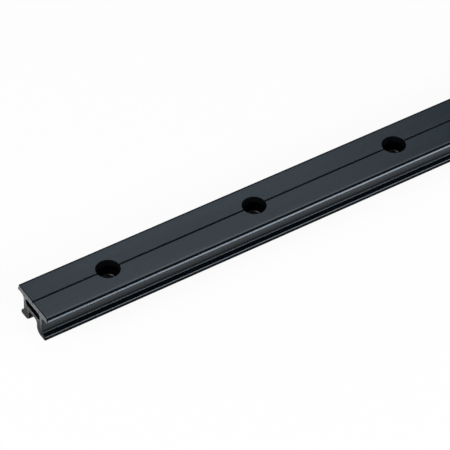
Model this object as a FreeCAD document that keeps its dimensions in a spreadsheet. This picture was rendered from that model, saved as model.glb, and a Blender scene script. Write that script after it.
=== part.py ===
import FreeCAD, Part
import math
import os
import Sketcher

# A one metre length of extruded ball-bearing sail track for a big boat.
# X runs along the track, Y across it and Z up, with Z = 0 under the feet.
# One extrusion: a wide head with a hollow and a lip on each side edge and a ball
# race underneath, a closed chamber under its roof, and two legs on flared feet with
# an open channel between them. Counterbored bolt holes are drilled down the middle.

# Driving sizes in millimetres
DRIVING_SIZES = (
    ("track_length", 1000, "length of the piece"),
    ("overall_height", 20.5, "from the underside of the feet to the flat top"),
    ("top_width", 31.9, "over the edges of the top"),
    ("land_width", 1.2, "sloping land along each edge of the top"),
    ("land_drop", 0.26, "how far the land falls towards the edge"),
    ("nose_width", 33.4, "over the noses below the side hollows"),
    ("hollow_radius", 1.5, "radius of the hollow under each edge of the top"),
    ("hollow_width", 32.1, "over the lower edges of the hollows"),
    ("hollow_depth", 1.9, "from the top down to the lower edge of the hollow"),
    ("lip_depth", 2.65, "from the top down to the lip, where the slope below the hollow ends"),
    ("nose_depth", 4.4, "from the top down to the bottom of the nose"),
    ("nose_round", 0.7, "rounding under the nose"),
    ("lower_race_radius", 5.5, "radius of the race under the head"),
    ("root_depth", 5.2, "from the top down to where the lower race meets the leg"),
    ("root_fillet", 1.6, "fillet between the lower race and the leg"),
    ("leg_span", 20.8, "over the outer faces of the two legs"),
    ("roof_thickness", 4.4, "metal above the closed chamber"),
    ("chamber_width", 15.4, "width of the closed chamber"),
    ("chamber_height", 4.1, "height of the closed chamber"),
    ("chamber_round", 1.5, "corner rounding of the closed chamber"),
    ("web_thickness", 3.1, "metal between the chamber and the channel"),
    ("channel_width", 8.6, "open channel between the legs"),
    ("channel_round", 2.5, "corner rounding at the top of the channel"),
    ("mouth_round", 4.2, "rounding of the legs where the channel opens"),
    ("foot_width", 26.8, "over the toes of the two feet"),
    ("toe_height", 2.5, "upright face of each toe"),
    ("foot_height", 4.1, "height at which the leg spreads into the foot"),
    ("foot_fillet", 1.4, "fillet between the leg and the top of the foot"),
    ("toe_round", 0.6, "rounding on the upper and the lower edge of each toe"),
    ("edge_break", 0.25, "rounding on the edges of the top and of the lips"),
    ("groove_width", 1.5, "centring groove, across its mouth"),
    ("groove_depth", 1.3, "centring groove, depth of the point"),
    ("hole_pitch", 100, "distance from one bolt hole to the next"),
    ("end_distance", 50, "from the end of the track to the first hole"),
    ("bolt_hole_diameter", 8.4, "clearance hole for the bolt in the web"),
    ("counterbore_diameter", 14.4, "room for the bolt head"),
    ("seat_depth", 0.1, "spot face of the bolt head below the chamber floor"),
    ("rim_break", 0.2, "bevel on the rim of the counterbore"),
    ("seat_break", 0.4, "bevel on the upper edge of the bolt hole"),
)

# Positions worked out from the driving sizes
DERIVED_SIZES = (
    ("half_top", "=top_width / 2", "side edge of the top"),
    ("half_flat", "=half_top - land_width", "edge of the flat part of the top"),
    ("land_level", "=overall_height - land_drop", "height of the top's edges"),
    ("half_hollow", "=hollow_width / 2", "lower edge of the side hollow"),
    ("half_nose", "=nose_width / 2", "outer face of the nose"),
    ("half_under_nose", "=half_nose - nose_round", "start of the lower race"),
    ("half_legs", "=leg_span / 2", "outer face of the leg"),
    ("half_foot", "=foot_width / 2", "outer face of the toe"),
    ("half_channel", "=channel_width / 2", "inner face of the leg"),
    ("half_mouth", "=half_channel + mouth_round", "inner edge of the foot"),
    ("half_chamber", "=chamber_width / 2", "side wall of the chamber"),
    ("half_groove", "=groove_width / 2", "edge of the centring groove"),
    ("groove_level", "=overall_height - groove_depth", "point of the groove"),
    ("hollow_level", "=overall_height - hollow_depth", "height of the hollow's lower edge"),
    ("lip_level", "=overall_height - lip_depth", "lip above the nose"),
    ("nose_level", "=overall_height - nose_depth", "bottom of the nose"),
    ("nose_face_level", "=nose_level + nose_round", "lower end of the nose face"),
    ("root_level", "=overall_height - root_depth", "root of the lower race"),
    ("roof_level", "=overall_height - roof_thickness", "ceiling of the chamber"),
    ("floor_level", "=roof_level - chamber_height", "floor of the chamber"),
    ("web_level", "=floor_level - web_thickness", "top of the open channel"),
    ("counterbore_depth", "=overall_height - floor_level + seat_depth", "depth of the bolt seat"),
    ("seat_level", "=overall_height - counterbore_depth", "height of the bolt seat"),
    ("first_hole", "=end_distance - track_length / 2", "place of the first hole along X"),
    ("hole_count", "=floor((track_length - 2 * end_distance) / hole_pitch) + 1", "number of bolt holes"),
    ("hole_run", "=hole_pitch * (hole_count - 1)", "from the first hole to the last"),
)

# Sketcher's names for the sketch's own origin, axes and points of an edge
ORIGIN = -1
LEVEL_AXIS = -1
UPRIGHT_AXIS = -2
START = 1
END = 2
CENTRE = 3

# The side of its chord, seen from its first corner, that an arc bulges to
LEFT = 1
RIGHT = -1

# How near an edge must lie to a wanted place to be taken as that edge
MATCH = 1e-4


def add_sizes(document):
    """Write the driving and the derived sizes to a sheet, one alias each."""
    sheet = document.addObject("Spreadsheet::Sheet", "Sizes")
    rows = [(alias, str(size), note) for alias, size, note in DRIVING_SIZES]
    rows += DERIVED_SIZES
    for row, (alias, content, note) in enumerate(rows, start=1):
        sheet.set("A%d" % row, alias)
        sheet.set("B%d" % row, content)
        sheet.set("C%d" % row, note)
        sheet.setAlias("B%d" % row, alias)
    document.recompute()
    return sheet


def read_size(sheet, alias):
    """Read a size from the sheet, or 0 where there is no alias."""
    return float(getattr(sheet, alias)) if alias else 0.0


def origin_part(body, role):
    """Find one of the body's own origin planes or axes by its role."""
    return next(part for part in body.Origin.OriginFeatures if part.Role == role)


class Outline:
    """A closed outline in a sketch, whose corners are at places that the sheet gives."""

    def __init__(self, sketch, sheet):
        self.sketch = sketch
        self.sheet = sheet

    def size(self, alias):
        return read_size(self.sheet, alias)

    def drive(self, kind, alias, *where):
        """Add a constraint with a size that follows the sheet."""
        index = self.sketch.addConstraint(Sketcher.Constraint(kind, *where, self.size(alias)))
        self.sketch.setExpression("Constraints[%d]" % index, "Sizes." + alias)

    def add_line(self, start, end):
        return self.sketch.addGeometry(Part.LineSegment(start, end), False)

    def add_arc(self, start, end, radius, side):
        """Draw an arc that bulges to the left of its chord, or to the right."""
        chord = end - start
        left = FreeCAD.Vector(-chord.y, chord.x, 0) / chord.Length
        reach = math.sqrt(max(radius ** 2 - (chord.Length / 2) ** 2, 0))
        centre = (start + end) / 2 - left * (side * reach)
        first, last = (end, start) if side == LEFT else (start, end)
        angles = [math.atan2(place.y - centre.y, place.x - centre.x) for place in (first, last)]
        circle = Part.Circle(centre, FreeCAD.Vector(0, 0, 1), radius)
        return self.sketch.addGeometry(Part.ArcOfCircle(circle, *angles), False)

    def end_at(self, edge, place):
        """Tell which end of the edge lies at the place."""
        curve = self.sketch.Geometry[edge]
        near = (curve.StartPoint - place).Length < (curve.EndPoint - place).Length
        return START if near else END

    def hold(self, edge, point, across, up):
        """Hold a corner at its distance from the upright axis and at its height."""
        if across:
            self.drive("DistanceX", across, ORIGIN, START, edge, point)
        else:
            self.sketch.addConstraint(Sketcher.Constraint("PointOnObject", edge, point, UPRIGHT_AXIS))
        if up:
            self.drive("DistanceY", up, ORIGIN, START, edge, point)
        else:
            self.sketch.addConstraint(Sketcher.Constraint("PointOnObject", edge, point, LEVEL_AXIS))

    def draw(self, corners, bends):
        """Draw the outline from corner to corner and back to the first.

        corners maps a corner's name to the aliases of its place, across and
        up. bends maps the name of the corner that an arc starts from to the
        alias of its radius and to the side that it bulges to.
        """
        names = list(corners)
        places = [FreeCAD.Vector(self.size(across), self.size(up), 0) for across, up in corners.values()]
        onward = places[1:] + places[:1]
        edges = []
        for name, start, end in zip(names, places, onward):
            if name in bends:
                alias, side = bends[name]
                edges.append(self.add_arc(start, end, self.size(alias), side))
            else:
                edges.append(self.add_line(start, end))
        for number, name in enumerate(names):
            edge, before = edges[number], edges[number - 1]
            point = self.end_at(edge, places[number])
            meeting = self.end_at(before, places[number])
            self.sketch.addConstraint(Sketcher.Constraint("Coincident", before, meeting, edge, point))
            self.hold(edge, point, *corners[name])
        for name, (alias, side) in bends.items():
            self.drive("Radius", alias, edges[names.index(name)])


def add_sketch(body, name, role):
    """Add a sketch to one of the body's own origin planes."""
    sketch = body.newObject("Sketcher::SketchObject", name)
    sketch.AttachmentSupport = [(origin_part(body, role), "")]
    sketch.MapMode = "FlatFace"
    return sketch


def draw_half_section(body, sheet):
    """Draw the half of the section on the +Y side of the track's middle."""
    sketch = add_sketch(body, "HalfSection", "YZ_Plane")
    Outline(sketch, sheet).draw(
        corners={
            "groove point": (None, "groove_level"),
            "groove edge": ("half_groove", "overall_height"),
            "land": ("half_flat", "overall_height"),
            "top edge": ("half_top", "land_level"),
            "hollow foot": ("half_hollow", "hollow_level"),
            "lip": ("half_nose", "lip_level"),
            "nose": ("half_nose", "nose_face_level"),
            "under the nose": ("half_under_nose", "nose_level"),
            "leg root": ("half_legs", "root_level"),
            "foot corner": ("half_legs", "foot_height"),
            "toe": ("half_foot", "toe_height"),
            "toe base": ("half_foot", None),
            "channel mouth": ("half_mouth", None),
            "channel wall": ("half_channel", "mouth_round"),
            "channel corner": ("half_channel", "web_level"),
            "web underside": (None, "web_level"),
            "chamber floor": (None, "floor_level"),
            "chamber floor corner": ("half_chamber", "floor_level"),
            "chamber roof corner": ("half_chamber", "roof_level"),
            "chamber roof": (None, "roof_level"),
        },
        bends={
            "top edge": ("hollow_radius", RIGHT),
            "nose": ("nose_round", LEFT),
            "under the nose": ("lower_race_radius", RIGHT),
            "channel mouth": ("mouth_round", LEFT),
        },
    )
    return sketch


def extrude(body, sketch):
    """Extrude the half section to the length of the track and mirror it."""
    pad = body.newObject("PartDesign::Pad", "HalfTrack")
    pad.Profile = sketch
    pad.SideType = "Symmetric"
    pad.setExpression("Length", "Sizes.track_length")
    sketch.Visibility = False
    whole = body.newObject("PartDesign::Mirrored", "WholeTrack")
    whole.Originals = [pad]
    whole.MirrorPlane = (origin_part(body, "XZ_Plane"), [""])
    whole.Refine = True
    body.Tip = whole
    return whole


def long_edges(shape, places):
    """Name the edges that run along the track at these places on both sides."""
    names = []
    for number, edge in enumerate(shape.Edges, start=1):
        first, last = (vertex.Point for vertex in (edge.Vertexes[0], edge.Vertexes[-1]))
        if abs(first.x - last.x) < MATCH:
            continue
        for across, up in places:
            if math.hypot(abs(first.y) - across, first.z - up) < MATCH:
                names.append("Edge%d" % number)
    return names


def round_edges(document, body, sheet, name, radius, *places):
    """Round the long edges at the places, which the sheet gives by alias."""
    document.recompute()
    base = body.Tip
    wanted = [tuple(read_size(sheet, alias) for alias in place) for place in places]
    fillet = body.newObject("PartDesign::Fillet", name)
    fillet.Base = (base, long_edges(base.Shape, wanted))
    fillet.setExpression("Radius", "Sizes." + radius)
    return fillet


def add_bevel(body, name, diameter, width, level):
    """Cut a bevel of the width round a round edge of the first hole.

    diameter, width and level are aliases: of the hole below the bevel, of the
    bevel, and of the face that it opens to.
    """
    cone = body.newObject("PartDesign::SubtractiveCone", name)
    cone.AttachmentSupport = [(origin_part(body, "XY_Plane"), "")]
    cone.MapMode = "FlatFace"
    cone.setExpression("AttachmentOffset.Base.x", "Sizes.first_hole")
    cone.setExpression("AttachmentOffset.Base.z", "Sizes.%s - Sizes.%s" % (level, width))
    cone.setExpression("Height", "Sizes." + width)
    cone.setExpression("Radius1", "Sizes.%s / 2" % diameter)
    cone.setExpression("Radius2", "Sizes.%s / 2 + Sizes.%s" % (diameter, width))
    return cone


def repeat(body, name, *features):
    """Repeat features of the first hole at every hole along the track."""
    row = body.newObject("PartDesign::LinearPattern", name)
    row.Originals = list(features)
    row.Direction = (origin_part(body, "X_Axis"), [""])
    row.setExpression("Length", "Sizes.hole_run")
    row.setExpression("Occurrences", "Sizes.hole_count")
    body.Tip = row
    return row


def drill(document, body, sheet):
    """Drill one counterbored bolt hole and repeat it along the track."""
    sketch = add_sketch(body, "FirstHole", "XY_Plane")
    sketch.setExpression("AttachmentOffset.Base.z", "Sizes.overall_height")
    outline = Outline(sketch, sheet)
    circle = Part.Circle(FreeCAD.Vector(), FreeCAD.Vector(0, 0, 1), outline.size("bolt_hole_diameter") / 2)
    edge = sketch.addGeometry(circle, False)
    outline.drive("Diameter", "bolt_hole_diameter", edge)
    outline.hold(edge, CENTRE, "first_hole", None)
    document.recompute()

    hole = body.newObject("PartDesign::Hole", "BoltHole")
    hole.Profile = sketch
    document.recompute()
    hole.ThreadType = "None"
    hole.DepthType = "ThroughAll"
    hole.setExpression("Diameter", "Sizes.bolt_hole_diameter")
    hole.HoleCutType = "Counterbore"
    hole.HoleCutCustomValues = True
    hole.setExpression("HoleCutDiameter", "Sizes.counterbore_diameter")
    hole.setExpression("HoleCutDepth", "Sizes.counterbore_depth")
    sketch.Visibility = False
    document.recompute()
    repeat(body, "RowOfHoles", hole)
    document.recompute()
    rim = add_bevel(body, "RimBevel", "counterbore_diameter", "rim_break", "overall_height")
    seat = add_bevel(body, "SeatBevel", "bolt_hole_diameter", "seat_break", "seat_level")
    document.recompute()
    repeat(body, "RowOfBevels", rim, seat)


def build_track(document, sheet):
    """Build the whole track as one body."""
    body = document.addObject("PartDesign::Body", "track_rail")
    body.Label = "track_rail"
    section = draw_half_section(body, sheet)
    document.recompute()
    extrude(body, section)
    round_edges(document, body, sheet, "LegRoots", "root_fillet", ("half_legs", "root_level"))
    round_edges(document, body, sheet, "ChannelCorners", "channel_round", ("half_channel", "web_level"))
    round_edges(document, body, sheet, "FootCorners", "foot_fillet", ("half_legs", "foot_height"))
    round_edges(document, body, sheet, "ToeEdges", "toe_round",
                ("half_foot", "toe_height"), ("half_foot", None))
    round_edges(document, body, sheet, "ChamberCorners", "chamber_round",
                ("half_chamber", "roof_level"), ("half_chamber", "floor_level"))
    round_edges(document, body, sheet, "HeadEdges", "edge_break",
                ("half_top", "land_level"), ("half_nose", "lip_level"))
    document.recompute()
    solid_volume = body.Shape.Volume
    drill(document, body, sheet)
    document.recompute()
    if body.Shape.Volume >= solid_volume:
        raise RuntimeError("the bolt holes removed nothing")
    return body


def check(document, bodies):
    """Stop if any object failed, or if a body's shape is missing or invalid."""
    for item in document.Objects:
        if "Invalid" in item.State or "Error" in item.State:
            raise RuntimeError("%s did not build: %s" % (item.Name, item.State))
    for body in bodies:
        if body.Shape.isNull() or not body.Shape.isValid():
            raise RuntimeError("%s has no valid shape" % body.Label)
        if len(body.Shape.Solids) != 1:
            raise RuntimeError("%s is not one solid" % body.Label)


def main():
    document = FreeCAD.newDocument("SailTrack")
    sheet = add_sizes(document)
    track = build_track(document, sheet)
    track.Placement = FreeCAD.Placement()
    document.recompute()
    check(document, [track])
    os.makedirs("parts", exist_ok=True)
    track.Shape.exportStep(os.path.join("parts", track.Label + ".step"))
    box = track.Shape.BoundBox
    print("track_rail: %.1f x %.1f x %.1f mm" % (box.XLength, box.YLength, box.ZLength))
    print("volume %.0f mm3, %d bolt holes" % (track.Shape.Volume, int(sheet.hole_count)))


main()
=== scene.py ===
"""Looks of a sail track section: one metre of black anodised extrusion, sawn and drilled.

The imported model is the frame. The script builds the extrusion again with fine
arcs and roundings, drills its counterbored bolt holes, dresses it in procedural
finishes, and sets it in a pale studio seen from the photograph's viewing angle.
"""

import logging
import math
from dataclasses import dataclass, field
from enum import Enum
from typing import Any

import bmesh
import bpy
from mathutils import Matrix, Quaternion, Vector
from mathutils.geometry import interpolate_bezier


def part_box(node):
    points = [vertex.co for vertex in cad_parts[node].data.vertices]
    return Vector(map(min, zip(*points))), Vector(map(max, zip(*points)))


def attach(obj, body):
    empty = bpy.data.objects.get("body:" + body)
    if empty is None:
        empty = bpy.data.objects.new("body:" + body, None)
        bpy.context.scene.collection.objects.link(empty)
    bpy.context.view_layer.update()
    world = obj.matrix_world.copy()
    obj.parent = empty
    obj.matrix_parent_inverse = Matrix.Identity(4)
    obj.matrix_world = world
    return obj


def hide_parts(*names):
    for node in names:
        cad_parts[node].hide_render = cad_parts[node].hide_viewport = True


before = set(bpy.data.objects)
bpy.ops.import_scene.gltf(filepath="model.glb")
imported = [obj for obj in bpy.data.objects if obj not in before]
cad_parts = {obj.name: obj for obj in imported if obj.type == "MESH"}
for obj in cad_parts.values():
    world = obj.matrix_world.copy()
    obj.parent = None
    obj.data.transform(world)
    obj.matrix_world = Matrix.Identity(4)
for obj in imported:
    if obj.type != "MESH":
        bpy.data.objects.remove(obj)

LOG = logging.getLogger("sail_track")

# Sizes are in millimetres and Blender's unit is the metre
MM = 0.001

# The imported node and its body
RAIL_NODE = "track_rail"
RAIL_BODY = "root"

Colour = tuple[float, float, float, float]


class Zone(Enum):
    """The zones of the track that are finished in different ways.

    The value is the number of the zone's material slot.
    """

    EXTRUDED = 0
    SAWN = 1
    # Holes, chamber and channel: a darker colour that paints shade into the recesses
    BORED = 2
    # Dull, with a darker colour that paints shade under the top edges and at the toes
    DULL = 3
    # Bevelled: the seat's bevel ring, painted light grey as a highlight
    BEVELLED = 4
    # Flank, a darker copy of the extruded finish: painted shade below the lips and in the groove
    FLANK = 5


class Wire:
    """An output socket whose maths is written with Python's operators."""

    def __init__(self, graph: "Graph", socket: bpy.types.NodeSocket) -> None:
        """Keep the socket and the graph that its maths is added to.

        Args:
            graph: The graph that the socket belongs to.
            socket: The output socket to wrap.
        """
        self.graph = graph
        self.socket = socket

    def __add__(self, other: "Wire | float") -> "Wire":
        """Return the sum of the two values."""
        return self.graph.maths("ADD", self, other)

    __radd__ = __add__

    def __sub__(self, other: "Wire | float") -> "Wire":
        """Return this value less the other."""
        return self.graph.maths("SUBTRACT", self, other)

    def __rsub__(self, other: float) -> "Wire":
        """Return the other value less this one."""
        return self.graph.maths("SUBTRACT", other, self)

    def __mul__(self, other: "Wire | float") -> "Wire":
        """Return the product of the two values."""
        return self.graph.maths("MULTIPLY", self, other)

    __rmul__ = __mul__


class Graph:
    """A node tree that is built by Python expressions."""

    # Places of a colour Mix node's two colours and of its result
    MIX_FIRST = 6
    MIX_SECOND = 7
    MIX_RESULT = 2

    # Finer layers that each noise has on top of its first
    NOISE_LAYERS = 2.0

    def __init__(self, tree: bpy.types.NodeTree) -> None:
        """Clear the tree and keep it.

        Args:
            tree: The node tree of a material or of the world.
        """
        self.tree = tree
        tree.nodes.clear()

    def node(
        self,
        kind: str,
        settings: dict[str, Any] | None = None,
        sockets: dict[str | int, Any] | None = None,
    ) -> bpy.types.Node:
        """Add a node, set it up and then feed its sockets.

        Args:
            kind: Blender's name of the node type.
            settings: The node's own settings, such as its operation.
            sockets: A value or a wire for each input socket that needs one.

        Returns:
            The new node.
        """
        node = self.tree.nodes.new(kind)
        for name, setting in (settings or {}).items():
            setattr(node, name, setting)
        for name, value in (sockets or {}).items():
            if isinstance(value, Wire):
                self.tree.links.new(value.socket, node.inputs[name])
            else:
                node.inputs[name].default_value = value
        return node

    def maths(self, operation: str, *values: "Wire | float") -> Wire:
        """Add a Math node on one or more values and return its result."""
        node = self.node("ShaderNodeMath", {"operation": operation}, dict(enumerate(values)))
        return Wire(self, node.outputs[0])

    def vector(self, operation: str, first: Wire, second: tuple[float, float, float]) -> Wire:
        """Add a Vector Math node on a vector wire and a vector and return its result."""
        node = self.node("ShaderNodeVectorMath", {"operation": operation}, {0: first, 1: second})
        return Wire(self, node.outputs[0])

    def place(self) -> Wire:
        """Return the place on the object, in millimetres in the part's own frame."""
        coordinates = self.node("ShaderNodeTexCoord")
        return self.vector("MULTIPLY", Wire(self, coordinates.outputs["Object"]), (1 / MM,) * 3)

    def parts(self, vector: Wire) -> tuple[Wire, Wire, Wire]:
        """Split a vector wire into its three numbers."""
        node = self.node("ShaderNodeSeparateXYZ", None, {0: vector})
        return tuple(Wire(self, output) for output in node.outputs)

    def noise(self, place: Wire, cell: tuple[float, float, float]) -> Wire:
        """Return noise from 0 to 1 whose grains have this size.

        Args:
            place: The place on the object in millimetres.
            cell: Size of a grain along X, Y and Z in millimetres.

        Returns:
            The wire of the noise value, which is near 0.5 on average.
        """
        scaled = self.vector("DIVIDE", place, cell)
        node = self.node(
            "ShaderNodeTexNoise",
            {"noise_dimensions": "3D"},
            {"Vector": scaled, "Scale": 1.0, "Detail": self.NOISE_LAYERS},
        )
        return Wire(self, node.outputs[0])

    def ramp(self, value: Wire, start: float, end: float) -> Wire:
        """Return a smooth step from 0 at start to 1 at end."""
        node = self.node(
            "ShaderNodeMapRange",
            {"interpolation_type": "SMOOTHSTEP"},
            {"Value": value, "From Min": start, "From Max": end},
        )
        return Wire(self, node.outputs[0])

    def blend(self, factor: Wire, first: "Wire | Colour", second: "Wire | Colour") -> Wire:
        """Return the first colour at a factor of 0 and the second at 1."""
        node = self.node(
            "ShaderNodeMix",
            {"data_type": "RGBA"},
            {0: factor, self.MIX_FIRST: first, self.MIX_SECOND: second},
        )
        return Wire(self, node.outputs[self.MIX_RESULT])

    def bump(self, height: Wire, depth: float = 1.0) -> Wire:
        """Return a normal bent by a height field.

        Args:
            height: The height, in units of depth.
            depth: What a height of 1 is in millimetres.

        Returns:
            The wire of the normal.
        """
        node = self.node("ShaderNodeBump", None, {"Height": height, "Strength": 1.0, "Distance": depth * MM})
        return Wire(self, node.outputs[0])


def shade(red: float, green: float, blue: float) -> Colour:
    """Return an opaque colour from its three linear parts."""
    return (red, green, blue, 1.0)


@dataclass(frozen=True)
class AnodisedFinish:
    """Black hard anodising on extruded metal, with the die's lines along the track."""

    name: str = "black_anodised_extruded"
    dark: Colour = shade(0.0010, 0.0040, 0.0080)
    light: Colour = shade(0.0050, 0.0115, 0.0175)
    worn: Colour = shade(0.0200, 0.0230, 0.0260)
    specular_level: float = 0.50
    specular_tint: Colour = shade(0.74, 0.87, 1.00)
    smooth: float = 0.17
    rough: float = 0.26
    drift_cell: tuple[float, float, float] = (85.0, 30.0, 30.0)
    band_cell: tuple[float, float, float] = (900.0, 3.4, 3.4)
    line_cell: tuple[float, float, float] = (260.0, 0.55, 0.55)
    hair_cell: tuple[float, float, float] = (45.0, 0.16, 0.16)
    grain_cell: tuple[float, float, float] = (0.20, 0.20, 0.20)
    rub_cell: tuple[float, float, float] = (18.0, 0.70, 0.70)
    drift_share: float = 0.40
    band_share: float = 0.35
    line_share: float = 0.25
    tone_range: tuple[float, float] = (0.36, 0.64)
    rub_range: tuple[float, float] = (0.63, 0.78)
    rub_strength: float = 0.22
    hair_share: float = 0.6
    haze_share: float = 0.5
    line_depth: float = 0.010
    grain_depth: float = 0.012

    def tone(self, graph: Graph, place: Wire) -> Wire:
        """Return how light the dye took, from 0 to 1.

        Args:
            graph: The material's graph.
            place: The place on the object in millimetres.

        Returns:
            The wire of the tone.
        """
        drift = graph.noise(place, self.drift_cell) * self.drift_share
        bands = graph.noise(place, self.band_cell) * self.band_share
        lines = graph.noise(place, self.line_cell) * self.line_share
        return graph.ramp(drift + bands + lines, *self.tone_range)

    def relief(self, graph: Graph, place: Wire) -> Wire:
        """Return the normal of the die lines over the grain of the etched metal.

        Args:
            graph: The material's graph.
            place: The place on the object in millimetres.

        Returns:
            The wire of the normal.
        """
        hairs = graph.noise(place, self.hair_cell) * self.hair_share
        lines = graph.noise(place, self.line_cell) * (1 - self.hair_share)
        grain = graph.noise(place, self.grain_cell)
        height = (hairs + lines) * self.line_depth + grain * self.grain_depth
        return graph.bump(height)

    def build(self) -> bpy.types.Material:
        """Build the material.

        Returns:
            The new material.
        """
        material = bpy.data.materials.new(self.name)
        material.use_nodes = True
        graph = Graph(material.node_tree)
        place = graph.place()
        tone = self.tone(graph, place)
        rub = graph.ramp(graph.noise(place, self.rub_cell), *self.rub_range) * self.rub_strength
        colour = graph.blend(rub, graph.blend(tone, self.dark, self.light), self.worn)
        haze = graph.noise(place, self.line_cell) * self.haze_share + tone * (1 - self.haze_share)
        shader = graph.node(
            "ShaderNodeBsdfPrincipled",
            None,
            {
                "Base Color": colour,
                "Roughness": haze * (self.rough - self.smooth) + self.smooth,
                "Specular IOR Level": self.specular_level,
                "Specular Tint": self.specular_tint,
                "Normal": self.relief(graph, place),
            },
        )
        graph.node("ShaderNodeOutputMaterial", None, {"Surface": Wire(graph, shader.outputs[0])})
        return material


@dataclass(frozen=True)
class SawnFinish:
    """The sawn end, anodised over the fine lines that the saw left, with painted shade that darkens it
    towards the bottom.
    """

    name: str = "black_anodised_sawn"
    dark: Colour = shade(0.0800, 0.0850, 0.0880)
    light: Colour = shade(0.1950, 0.2030, 0.2080)
    # Painted shade: the end turns to this near-black colour towards the bottom
    low: Colour = shade(0.0100, 0.0110, 0.0120)
    bottom_shade_levels: tuple[float, float] = (4.0, 18.0)
    specular_level: float = 0.05
    roughness: float = 0.36
    roughness_spread: float = 0.14
    tooth_cell: tuple[float, float, float] = (1.0, 0.16, 9.0)
    patch_cell: tuple[float, float, float] = (2.0, 2.0, 2.0)
    patch_reach: float = 14.0
    tooth_depth: float = 0.020
    tooth_share: float = 0.6
    tone_range: tuple[float, float] = (0.38, 0.62)
    lean: float = 0.35

    def build(self) -> bpy.types.Material:
        """Build the material, with saw lines that lean across the end and painted shade that darkens it
        towards the bottom.

        Returns:
            The new material.
        """
        material = bpy.data.materials.new(self.name)
        material.use_nodes = True
        graph = Graph(material.node_tree)
        place = graph.place()
        turned = graph.node(
            "ShaderNodeVectorRotate",
            {"rotation_type": "X_AXIS"},
            {"Vector": place, "Angle": self.lean},
        )
        teeth = graph.noise(Wire(graph, turned.outputs[0]), self.tooth_cell)
        patches = graph.noise(place, self.patch_cell)
        mixed = teeth * self.tooth_share + patches * (1 - self.tooth_share)
        tone = graph.ramp(mixed, *self.tone_range)
        # Painted shade: the end darkens towards the floor, with a ragged edge from the patches
        height = graph.parts(place)[2]
        bottom_shade = graph.ramp(height + (patches - 0.5) * self.patch_reach, *self.bottom_shade_levels)
        colour = graph.blend(bottom_shade, self.low, graph.blend(tone, self.dark, self.light))
        shader = graph.node(
            "ShaderNodeBsdfPrincipled",
            None,
            {
                "Base Color": colour,
                "Roughness": patches * self.roughness_spread + self.roughness,
                "Specular IOR Level": self.specular_level,
                "Normal": graph.bump(teeth, self.tooth_depth),
            },
        )
        graph.node("ShaderNodeOutputMaterial", None, {"Surface": Wire(graph, shader.outputs[0])})
        return material


@dataclass(frozen=True)
class BoredFinish:
    """The machined bolt holes, anodised over the fine rings that the cutter left, in a darker colour that
    paints shade into them and into the chamber and the channel.
    """

    name: str = "black_anodised_bored_painted_shade"
    # Darker than the extruded finish: painted shade in the holes, the chamber and the channel
    dark: Colour = shade(0.0008, 0.0012, 0.0020)
    light: Colour = shade(0.0020, 0.0026, 0.0036)
    specular_level: float = 0.05
    roughness: float = 0.50
    roughness_spread: float = 0.12
    ring_cell: tuple[float, float, float] = (8.0, 8.0, 0.14)
    ring_depth: float = 0.010
    tone_range: tuple[float, float] = (0.38, 0.62)

    def build(self) -> bpy.types.Material:
        """Build the material, with rings at even heights in the wall.

        Returns:
            The new material.
        """
        material = bpy.data.materials.new(self.name)
        material.use_nodes = True
        graph = Graph(material.node_tree)
        place = graph.place()
        rings = graph.noise(place, self.ring_cell)
        shader = graph.node(
            "ShaderNodeBsdfPrincipled",
            None,
            {
                "Base Color": graph.blend(graph.ramp(rings, *self.tone_range), self.dark, self.light),
                "Roughness": rings * self.roughness_spread + self.roughness,
                "Specular IOR Level": self.specular_level,
                "Normal": graph.bump(rings, self.ring_depth),
            },
        )
        graph.node("ShaderNodeOutputMaterial", None, {"Surface": Wire(graph, shader.outputs[0])})
        return material


@dataclass(frozen=True)
class Corner:
    """A corner of the section on the +Y side, and how the outline goes on from it.

    The outline runs on straight to the next corner, or in an arc of the radius
    bend, which bulges to the left of the way where it is above 0 and to the
    right where it is below.
    """

    across: float
    up: float
    rounding: float = 0.0
    bend: float = 0.0

    def spot(self) -> Vector:
        """Return the place of the corner as a flat vector."""
        return Vector((self.across, self.up))


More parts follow.
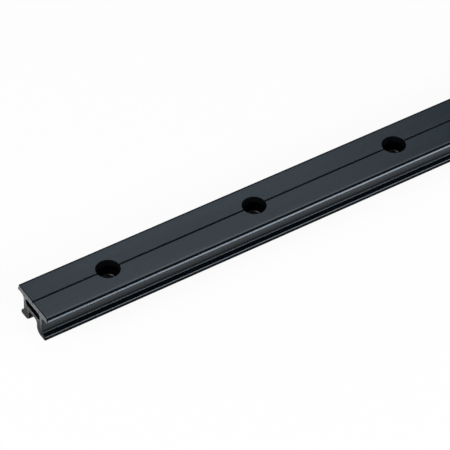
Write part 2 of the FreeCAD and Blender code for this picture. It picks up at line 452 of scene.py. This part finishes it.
@dataclass(frozen=True)
class HalfPath:
    """An open path of corners on the +Y side, drawn with its arcs and roundings."""

    corners: tuple[Corner, ...]
    arc_step: float = math.radians(4)
    rounding_steps: int = 7

    def side(self, start: Corner, end: Corner) -> list[Vector]:
        """Return the points from one corner to the next, both included.

        Args:
            start: The corner whose bend shapes the side.
            end: The next corner.

        Returns:
            Two points for a straight side, and more for an arc.
        """
        first, last = start.spot(), end.spot()
        if not start.bend:
            return [first, last]
        chord = last - first
        radius = abs(start.bend)
        turn = 1 if start.bend > 0 else -1
        left = Vector((-chord.y, chord.x)).normalized()
        reach = math.sqrt(radius**2 - (chord.length / 2) ** 2)
        centre = (first + last) / 2 - left * (turn * reach)
        sweep = -turn * 2 * math.asin(chord.length / 2 / radius)
        steps = math.ceil(abs(sweep) / self.arc_step)
        spokes = [Matrix.Rotation(sweep * step / steps, 2) @ (first - centre) for step in range(steps)]
        return [centre + spoke for spoke in spokes] + [last]

    @staticmethod
    def trimmed(points: list[Vector], length: float) -> list[Vector]:
        """Cut this length off the start of a row of points."""
        rest = list(points)
        while (rest[1] - rest[0]).length <= length:
            length -= (rest[1] - rest[0]).length
            rest.pop(0)
        rest[0] = rest[0] + (rest[1] - rest[0]).normalized() * length
        return rest

    def rounded(
        self, before: list[Vector], after: list[Vector], radius: float
    ) -> tuple[list[Vector], list[Vector], list[Vector]]:
        """Round the corner between two sides.

        Args:
            before: The points of the side that ends in the corner.
            after: The points of the side that starts in the corner.
            radius: The radius of the rounding.

        Returns:
            The first side cut short, the points of the rounding, and the
            second side cut short.
        """
        way_in = (before[-1] - before[-2]).normalized()
        way_out = (after[1] - after[0]).normalized()
        cut = radius * math.tan(way_in.angle(way_out) / 2)
        before = self.trimmed(before[::-1], cut)[::-1]
        after = self.trimmed(after, cut)
        way_in = (before[-1] - before[-2]).normalized()
        way_out = (after[1] - after[0]).normalized()
        turn = way_in.angle(way_out)
        span = (after[0] - before[-1]).length
        reach = 4 / 3 * math.tan(turn / 4) * span / (2 * math.sin(turn / 2))
        curve = interpolate_bezier(
            before[-1], before[-1] + way_in * reach, after[0] - way_out * reach, after[0], self.rounding_steps
        )
        return before, curve, after

    def points(self) -> list[Vector]:
        """Return the points of the whole path."""
        sides = [self.side(start, end) for start, end in zip(self.corners, self.corners[1:])]
        curves: list[list[Vector]] = [[corner.spot()] for corner in self.corners]
        for number, corner in enumerate(self.corners):
            if corner.rounding:
                sides[number - 1], curves[number], sides[number] = self.rounded(
                    sides[number - 1], sides[number], corner.rounding
                )
        path = list(curves[0])
        for side, curve in zip(sides, curves[1:]):
            path += side[1:-1]
            path += curve
        return path

    def loop(self) -> list[Vector]:
        """Return the closed loop of the path and its mirror image.

        Both ends of the path lie on the middle plane, so each is in the loop once.
        """
        path = self.points()
        mirrored = [Vector((-spot.x, spot.y)) for spot in reversed(path[1:-1])]
        return path + mirrored


@dataclass(frozen=True)
class TrackSection:
    """The section of the extrusion, in millimetres."""

    height: float
    nose_width: float
    top_width: float = 31.9
    land_width: float = 1.2
    land_drop: float = 0.26
    land_round: float = 2.5
    edge_strip: float = 0.27
    strip_drop: float = 0.07
    hollow_radius: float = 1.5
    hollow_width: float = 32.1
    hollow_depth: float = 1.9
    hollow_reach: float = 1.0
    lip_depth: float = 2.65
    nose_depth: float = 4.4
    nose_round: float = 0.7
    lower_race_radius: float = 5.5
    root_depth: float = 5.2
    root_fillet: float = 1.6
    leg_span: float = 20.8
    roof_thickness: float = 4.4
    chamber_width: float = 15.4
    chamber_height: float = 4.1
    chamber_round: float = 1.5
    web_thickness: float = 3.1
    channel_width: float = 8.6
    channel_round: float = 2.5
    mouth_round: float = 4.2
    foot_width: float = 26.8
    toe_height: float = 2.5
    foot_height: float = 4.1
    foot_fillet: float = 1.4
    toe_round: float = 0.3
    toe_break: float = 0.35
    toe_drop: float = 0.22
    base_round: float = 0.4
    edge_break: float = 0.25
    groove_width: float = 1.5
    groove_depth: float = 1.3

    @property
    def chamber_floor(self) -> float:
        """Height of the chamber's floor."""
        return self.height - self.roof_thickness - self.chamber_height

    @property
    def strip_start(self) -> float:
        """Distance from the middle to the dull strip along each edge of the top, which is darkened with
        painted shade.
        """
        return self.top_width / 2 - self.edge_strip

    def outer(self) -> HalfPath:
        """Return the outside of the section, from the groove round to the web."""
        nose, legs, channel = self.nose_width / 2, self.leg_span / 2, self.channel_width / 2
        toe = self.foot_width / 2
        web = self.chamber_floor - self.web_thickness
        return HalfPath((
            Corner(0, self.height - self.groove_depth),
            Corner(self.groove_width / 2, self.height, self.edge_break),
            Corner(self.top_width / 2 - self.land_width, self.height, self.land_round),
            Corner(self.strip_start, self.height - self.land_drop + self.strip_drop),
            Corner(self.top_width / 2, self.height - self.land_drop, bend=-self.hollow_radius),
            Corner(self.hollow_width / 2, self.height - self.hollow_depth),
            Corner(nose, self.height - self.lip_depth, self.edge_break),
            Corner(nose, self.height - self.nose_depth + self.nose_round, bend=self.nose_round),
            Corner(nose - self.nose_round, self.height - self.nose_depth, bend=-self.lower_race_radius),
            Corner(legs, self.height - self.root_depth, self.root_fillet),
            Corner(legs, self.foot_height, self.foot_fillet),
            Corner(toe - self.toe_break, self.toe_height + self.toe_slope * self.toe_break, self.toe_round),
            Corner(toe, self.toe_height - self.toe_drop, self.toe_round),
            Corner(toe, 0, self.base_round),
            Corner(channel + self.mouth_round, 0, bend=self.mouth_round),
            Corner(channel, self.mouth_round),
            Corner(channel, web, self.channel_round),
            Corner(0, web),
        ))

    @property
    def toe_slope(self) -> float:
        """Rise of the foot's top for each millimetre inward from the toe."""
        return (self.foot_height - self.toe_height) / (self.foot_width / 2 - self.leg_span / 2)

    def zone(self, spot: Vector) -> Zone:
        """Return the zone that a place on the outline belongs to.

        Args:
            spot: A place on the outside of the section.

        Returns:
            Dull, darkened with painted shade, for the edges of the top, the hollows
            under them and the toes; bored, with painted shade, for the open channel;
            flank, a darker copy with painted shade, for the groove and for all else
            below the lips; or the plain extruded surface.
        """
        across, depth = abs(spot.x), self.height - spot.y
        on_strip = across > self.strip_start and depth < self.land_drop
        beside_head = across > self.hollow_width / 2 - self.hollow_reach
        in_hollow = beside_head and self.land_drop < depth < self.hollow_depth
        at_toe = across > self.foot_width / 2 - self.toe_break / 2
        on_toe = at_toe and spot.y < self.toe_height - self.toe_drop
        # Painted shade: the dull zone's darker colour along the top edges, in the hollows under them and at
        # the toes
        if on_strip or in_hollow or on_toe:
            return Zone.DULL
        # Painted shade: the open channel takes the bored finish's darker colour
        if across < self.channel_width / 2 + self.mouth_round and 0 < spot.y < self.chamber_floor:
            return Zone.BORED
        # Painted shade: the groove and everything below the lips take the darker flank finish
        if depth > self.lip_depth + self.edge_break / 2 or across < self.groove_width / 2:
            return Zone.FLANK
        return Zone.EXTRUDED

    def chamber(self) -> HalfPath:
        """Return the closed chamber's outline, from its floor up to its ceiling."""
        wall = self.chamber_width / 2
        ceiling = self.height - self.roof_thickness
        return HalfPath((
            Corner(0, self.chamber_floor),
            Corner(wall, self.chamber_floor, self.chamber_round),
            Corner(wall, ceiling, self.chamber_round),
            Corner(0, ceiling),
        ))


@dataclass(frozen=True)
class BoltHole:
    """A counterbored bolt hole, in millimetres, drilled down from the flat top."""

    pitch: float = 100.0
    bolt_diameter: float = 8.4
    counterbore_diameter: float = 14.4
    seat_depth: float = 8.6
    rim_break: float = 0.2
    seat_break: float = 0.4
    seat_round: float = 0.35
    fillet_step_degrees: int = 15
    spare: float = 3.0
    segments: int = 112

    def profile(self, top: float) -> list[tuple[float, float, Zone]]:
        """Return the cutter's outline: radii, heights and the zones below them.

        Args:
            top: Height of the flat top that the hole is drilled from.

        Returns:
            The radius, the height and the zone of the wall that follows, for
            each point from above the top down to below the feet.
        """
        wide, narrow = self.counterbore_diameter / 2, self.bolt_diameter / 2
        seat = top - self.seat_depth
        quarter = [math.radians(angle) for angle in range(0, 91, self.fillet_step_degrees)]
        centre = wide - self.seat_round
        fillet = [
            (
                centre + self.seat_round * math.cos(angle),
                seat + self.seat_round * (1 - math.sin(angle)),
                Zone.BORED,
            )
            for angle in quarter
        ]
        return [
            (wide + self.rim_break + self.spare, top + self.spare, Zone.BORED),
            (wide, top - self.rim_break, Zone.BORED),
            *fillet,
            # The seat's bevel takes a light grey colour: a painted highlight ring in each hole
            (narrow + self.seat_break, seat, Zone.BEVELLED),
            (narrow, seat - self.seat_break, Zone.BORED),
            (narrow, -self.spare, Zone.BORED),
        ]

    def add_cutter(self, cutters: bmesh.types.BMesh, along: float, top: float) -> None:
        """Add the turned cutter of one hole.

        Args:
            cutters: The mesh that all the cutters are in.
            along: The hole's place along the track.
            top: Height of the flat top.
        """
        turns = [math.tau * number / self.segments for number in range(self.segments)]
        profile = self.profile(top)
        rings = [
            [
                cutters.verts.new(Vector((along + radius * math.cos(turn), radius * math.sin(turn), up)) * MM)
                for turn in turns
            ]
            for radius, up, _ in profile
        ]
        for upper, lower, (_, _, zone) in zip(rings, rings[1:], profile):
            for number in range(self.segments):
                beside = number - 1
                face = cutters.faces.new((upper[beside], upper[number], lower[number], lower[beside]))
                face.material_index = zone.value
        cutters.faces.new(rings[0])
        cutters.faces.new(rings[-1])


@dataclass
class TrackRail:
    """The whole track: one extrusion, sawn to length, deburred and drilled."""

    length: float
    section: TrackSection
    hole: BoltHole = field(default_factory=BoltHole)
    end_break: float = 0.24
    end_run: float = 0.48
    mitre_limit: float = 1.1
    crease: float = math.radians(24)

    @property
    def hole_places(self) -> list[float]:
        """Places of the holes along the track, the first half a pitch from the end."""
        count = round(self.length / self.hole.pitch)
        return [(number - (count - 1) / 2) * self.hole.pitch for number in range(count)]

    def extrusion(self) -> bpy.types.Mesh:
        """Build the undrilled track, with a ring of points half way between the holes.

        Returns:
            The mesh, whose two end faces have the sawn material's number.
        """
        shape = bmesh.new()
        half_pitch = self.hole.pitch / 2
        start, end = -self.length / 2, self.length / 2
        middles = [place + half_pitch for place in self.hole_places[:-1]]
        ends: tuple[list[bmesh.types.BMEdge], ...] = ([], [])
        loops = ((self.section.outer().loop(), False), (self.section.chamber().loop(), True))
        for loop, inside in loops:
            broken = self.inset(loop, self.end_break)
            stations = [(start, broken), (start + self.end_run, loop)]
            stations += [(along, loop) for along in middles]
            stations += [(end - self.end_run, loop), (end, broken)]
            rings = [
                [shape.verts.new(Vector((along, spot.x, spot.y)) * MM) for spot in spots]
                for along, spots in stations
            ]
            for near, far in zip(rings, rings[1:]):
                for number in range(len(loop)):
                    face = shape.faces.new((near[number - 1], near[number], far[number], far[number - 1]))
                    middle = (loop[number - 1] + loop[number]) / 2
                    # The chamber takes the bored finish's darker colour, which is painted shade inside it
                    face.material_index = (Zone.BORED if inside else self.section.zone(middle)).value
            for edges, ring in zip(ends, (rings[0], rings[-1])):
                edges += [shape.edges.get((ring[number - 1], ring[number])) for number in range(len(loop))]
        for edges in ends:
            cap = bmesh.ops.triangle_fill(shape, edges=edges, use_beauty=True, use_dissolve=False)
            for item in cap["geom"]:
                if isinstance(item, bmesh.types.BMFace):
                    item.material_index = Zone.SAWN.value
        return self.finished(shape, "extrusion")

    def inset(self, loop: list[Vector], distance: float) -> list[Vector]:
        """Move a closed loop sideways, to the right of its way.

        The mitre limit holds a sharp corner back, so that the points of a short
        side beside it keep their order.

        Args:
            loop: The points of the loop.
            distance: How far each side is moved.

        Returns:
            The moved points.
        """
        moved = []
        for before, spot, after in zip(loop[-1:] + loop[:-1], loop, loop[1:] + loop[:1]):
            way_in, way_out = (spot - before).normalized(), (after - spot).normalized()
            across = Vector((way_in.y + way_out.y, -way_in.x - way_out.x)).normalized()
            lean = across.dot(Vector((way_in.y, -way_in.x)))
            moved.append(spot + across * distance * min(1 / lean, self.mitre_limit))
        return moved

    def cutters(self) -> bpy.types.Mesh:
        """Build the cutters of all the bolt holes as one mesh."""
        shape = bmesh.new()
        for place in self.hole_places:
            self.hole.add_cutter(shape, place, self.section.height)
        return self.finished(shape, "cutters")

    @staticmethod
    def finished(shape: bmesh.types.BMesh, name: str) -> bpy.types.Mesh:
        """Turn a closed shape's faces outward and write it to a new mesh.

        Args:
            shape: The shape, which is freed.
            name: The name of the mesh.

        Returns:
            The mesh.
        """
        bmesh.ops.recalc_face_normals(shape, faces=shape.faces)
        mesh = bpy.data.meshes.new(name)
        shape.to_mesh(mesh)
        shape.free()
        return mesh

    def build(self, finishes: dict[Zone, bpy.types.Material]) -> bpy.types.Object:
        """Build, drill, smooth and dress the track.

        Args:
            finishes: The material of each zone.

        Returns:
            The finished piece, placed in the part's frame.
        """
        rail = bpy.data.objects.new("sail_track", self.extrusion())
        drill = bpy.data.objects.new("drill", self.cutters())
        for item in (rail, drill):
            for zone in Zone:
                item.data.materials.append(finishes[zone])
            bpy.context.scene.collection.objects.link(item)
        cut = rail.modifiers.new("bolt holes", "BOOLEAN")
        cut.object = drill
        cut.operation = "DIFFERENCE"
        cut.solver = "EXACT"
        cut.material_mode = "TRANSFER"
        self.apply(rail)
        bpy.data.objects.remove(drill)
        self.clean(rail.data)
        rail.data.shade_smooth()
        rail.data.set_sharp_from_angle(angle=self.crease)
        even = rail.modifiers.new("flat faces stay flat", "WEIGHTED_NORMAL")
        even.keep_sharp = True
        self.apply(rail)
        return rail

    @staticmethod
    def clean(mesh: bpy.types.Mesh) -> None:
        """Merge points that the cut left on top of each other."""
        shape = bmesh.new()
        shape.from_mesh(mesh)
        bmesh.ops.remove_doubles(shape, verts=shape.verts, dist=1e-7)
        shape.to_mesh(mesh)
        shape.free()

    @staticmethod
    def apply(piece: bpy.types.Object) -> None:
        """Put the result of a piece's modifiers in its mesh."""
        bpy.context.view_layer.update()
        graph = bpy.context.evaluated_depsgraph_get()
        evaluated = piece.evaluated_get(graph)
        mesh = bpy.data.meshes.new_from_object(evaluated, preserve_all_data_layers=True, depsgraph=graph)
        piece.modifiers.clear()
        piece.data = mesh


@dataclass(frozen=True)
class Softbox:
    """A rectangular studio lamp that looks at the track from a side."""

    name: str
    azimuth: float
    elevation: float
    distance: float
    width: float
    depth: float
    power: float

    def hang(self, target: Vector) -> bpy.types.Object:
        """Hang the lamp and point it at the target.

        Args:
            target: The place that the lamp lights.

        Returns:
            The lamp.
        """
        light = bpy.data.lights.new(self.name, "AREA")
        light.shape = "RECTANGLE"
        light.size = self.width
        light.size_y = self.depth
        light.energy = self.power
        lamp = bpy.data.objects.new(self.name, light)
        back = direction(self.azimuth, self.elevation)
        lamp.location = target + back * self.distance
        lamp.rotation_mode = "QUATERNION"
        lamp.rotation_quaternion = (-back).to_track_quat("-Z", "Y")
        bpy.context.scene.collection.objects.link(lamp)
        return lamp


def direction(azimuth: float, elevation: float) -> Vector:
    """Return the way from the object to a viewer.

    Args:
        azimuth: Degrees round the object, where 0 is the viewer on the -Y side.
        elevation: Degrees above the horizon.

    Returns:
        The unit vector.
    """
    around, above = math.radians(azimuth), math.radians(elevation)
    level = math.cos(above)
    return Vector((math.sin(around) * level, -math.cos(around) * level, math.sin(above)))


@dataclass(frozen=True)
class PhotoCamera:
    """The photograph's viewpoint, worked out from the hole rims and the long edges."""

    azimuth: float = -34.11
    elevation: float = 44.85
    roll: float = 1.97
    distance: float = 1750.3
    lens: float = 240.5
    sensor: float = 36.0
    aim_from_end: float = 126.61
    aim_across: float = -4.87

    def set_up(self, rail: TrackRail) -> bpy.types.Object:
        """Add the camera and make it the scene's own.

        Args:
            rail: The track that the camera looks at.

        Returns:
            The camera.
        """
        data = bpy.data.cameras.new("photo_camera")
        data.lens = self.lens
        data.sensor_width = self.sensor
        camera = bpy.data.objects.new("photo_camera", data)
        back = direction(self.azimuth, self.elevation)
        aim = Vector((self.aim_from_end - rail.length / 2, self.aim_across, rail.section.height))
        camera.location = (aim + back * self.distance) * MM
        camera.rotation_mode = "QUATERNION"
        roll = Quaternion((0, 0, 1), math.radians(self.roll))
        camera.rotation_quaternion = (-back).to_track_quat("-Z", "Y") @ roll
        bpy.context.scene.collection.objects.link(camera)
        bpy.context.scene.camera = camera
        return camera


@dataclass(frozen=True)
class Studio:
    """A pale floor, a soft world and the softboxes round the track."""

    floor_size: float = 40.0
    floor_gap: float = 0.0001
    floor_colour: Colour = shade(0.94, 0.94, 0.94)
    floor_white: float = 0.92
    world_level: float = 0.04
    # Each lamp has a name, azimuth, elevation, distance, width, depth and power
    lamps: tuple[Softbox, ...] = (
        Softbox("front_softbox", 25.7, 26.5, 1.6, 2.4, 0.30, 25.0),
        Softbox("top_softbox", 124.7, 63.0, 2.2, 1.2, 0.8, 6.5),
        Softbox("back_softbox", 158.5, 49.0, 1.9, 1.2, 0.9, 3.1),
        Softbox("left_softbox", -95.0, 35.0, 1.8, 1.2, 0.9, 24.0),
    )

    @staticmethod
    def background_rays(graph: Graph) -> Wire:
        """Return 1 for the rays that see the background itself, and 0 for the light on things."""
        rays = graph.node("ShaderNodeLightPath")
        seen = [Wire(graph, rays.outputs[f"Is {kind} Ray"]) for kind in ("Camera", "Glossy", "Transmission")]
        return graph.maths("MINIMUM", seen[0] + seen[1] + seen[2], 1.0)

    def lay_floor(self) -> bpy.types.Object:
        """Lay the floor just under the feet, white to the eye with a soft shadow."""
        half = self.floor_size / 2
        mesh = bpy.data.meshes.new("studio_floor")
        corners = [(-half, -half, 0), (half, -half, 0), (half, half, 0), (-half, half, 0)]
        mesh.from_pydata(corners, [], [(0, 1, 2, 3)])
        floor = bpy.data.objects.new("studio_floor", mesh)
        floor.location.z = -self.floor_gap
        material = bpy.data.materials.new("pale_floor")
        material.use_nodes = True
        graph = Graph(material.node_tree)
        matt = graph.node("ShaderNodeBsdfDiffuse", None, {"Color": self.floor_colour})
        white = graph.node("ShaderNodeEmission", None, {"Color": shade(1, 1, 1), "Strength": 1.0})
        mixed = graph.node(
            "ShaderNodeMixShader",
            None,
            {
                0: self.background_rays(graph) * self.floor_white,
                1: Wire(graph, matt.outputs[0]),
                2: Wire(graph, white.outputs[0]),
            },
        )
        graph.node("ShaderNodeOutputMaterial", None, {"Surface": Wire(graph, mixed.outputs[0])})
        mesh.materials.append(material)
        bpy.context.scene.collection.objects.link(floor)
        return floor

    def light_world(self) -> None:
        """Light the world softly and evenly."""
        world = bpy.data.worlds.new("studio_world")
        world.use_nodes = True
        graph = Graph(world.node_tree)
        sky = graph.node(
            "ShaderNodeBackground", None, {"Color": shade(1, 1, 1), "Strength": self.world_level}
        )
        graph.node("ShaderNodeOutputWorld", None, {"Surface": Wire(graph, sky.outputs[0])})
        bpy.context.scene.world = world

    def set_up(self, target: Vector) -> None:
        """Lay the floor, light the world and hang the lamps.

        Args:
            target: The place that the lamps light.
        """
        self.lay_floor()
        self.light_world()
        for lamp in self.lamps:
            lamp.hang(target)
        bpy.context.scene.view_settings.view_transform = "Standard"


def finishes_by_zone() -> dict[Zone, bpy.types.Material]:
    """Build the material of each zone of the track.

    Returns:
        The materials by zone.
    """
    return {
        Zone.EXTRUDED: AnodisedFinish().build(),
        Zone.SAWN: SawnFinish().build(),
        Zone.BORED: BoredFinish().build(),
        # Darker colour and weak reflection: painted shade under the top edges and at the toes
        Zone.DULL: AnodisedFinish(
            name="black_anodised_dull_painted_shade",
            dark=shade(0.0006, 0.0010, 0.0015),
            light=shade(0.0012, 0.0020, 0.0030),
            specular_level=0.04,
            smooth=0.45,
            rough=0.6,
        ).build(),
        # Darker colour and weaker reflection below the lips and in the groove: painted shade
        Zone.FLANK: AnodisedFinish(
            name="black_anodised_flank_painted_shade",
            dark=shade(0.0006, 0.0012, 0.0018),
            light=shade(0.0014, 0.0028, 0.0040),
            specular_level=0.33,
        ).build(),
        # Light grey ring at the holes' seats: painted highlight
        Zone.BEVELLED: BoredFinish(
            name="seat_bevel_painted_highlight",
            dark=shade(0.075, 0.080, 0.088),
            light=shade(0.125, 0.132, 0.140),
            specular_level=0.5,
            roughness=0.3,
        ).build(),
    }


def main() -> None:
    """Build the track, dress it and set it in the studio."""
    logging.basicConfig(level=logging.INFO, format="%(name)s: %(message)s")
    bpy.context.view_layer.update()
    low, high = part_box(RAIL_NODE)
    size = (high - low) / MM
    rail = TrackRail(length=size.x, section=TrackSection(height=size.z, nose_width=size.y))
    piece = rail.build(finishes_by_zone())
    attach(piece, RAIL_BODY)
    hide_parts(RAIL_NODE)
    LOG.info("%s: %d faces, %d holes", piece.name, len(piece.data.polygons), len(rail.hole_places))
    camera = PhotoCamera()
    camera.set_up(rail)
    Studio().set_up(Vector((camera.aim_from_end * MM + low.x, 0, 0)))


if __name__ == "__main__":
    main()
